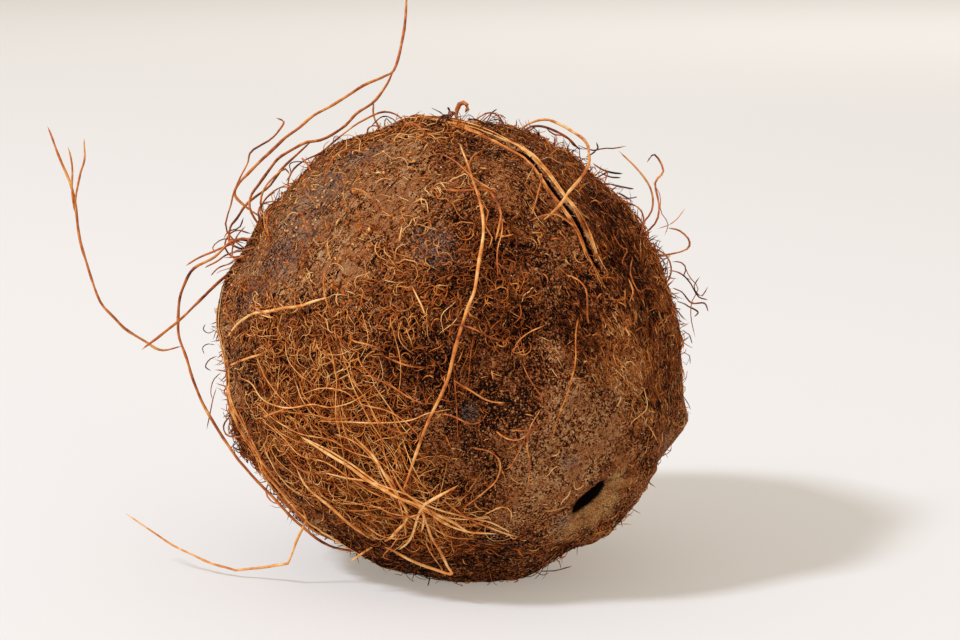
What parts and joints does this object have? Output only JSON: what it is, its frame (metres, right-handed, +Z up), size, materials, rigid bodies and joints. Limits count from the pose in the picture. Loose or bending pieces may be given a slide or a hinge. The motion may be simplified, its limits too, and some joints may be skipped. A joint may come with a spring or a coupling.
{
  "type": "coconut shell",
  "caption": "Husked brown coconut shell lying on its side: hollow, one eye open as a hole, other eyes closed, split sutures, long husk fibres.",
  "frame": {"origin": "on the flat spot that the nut rests on, under the nut's centre", "axes": "+Z up; +X is the level direction that the open eye faces; the nut's own axis points 27 degrees from +X towards +Y and 37.5 degrees down, at its eye end"},
  "size_m": [0.1231, 0.1289, 0.1453],
  "materials": {
    "husk_fibre": "rough dry fibre, matte"
  },
  "bodies": {
    "root": {"coconut_shell": "husk_fibre"}
  },
  "joints": []
}
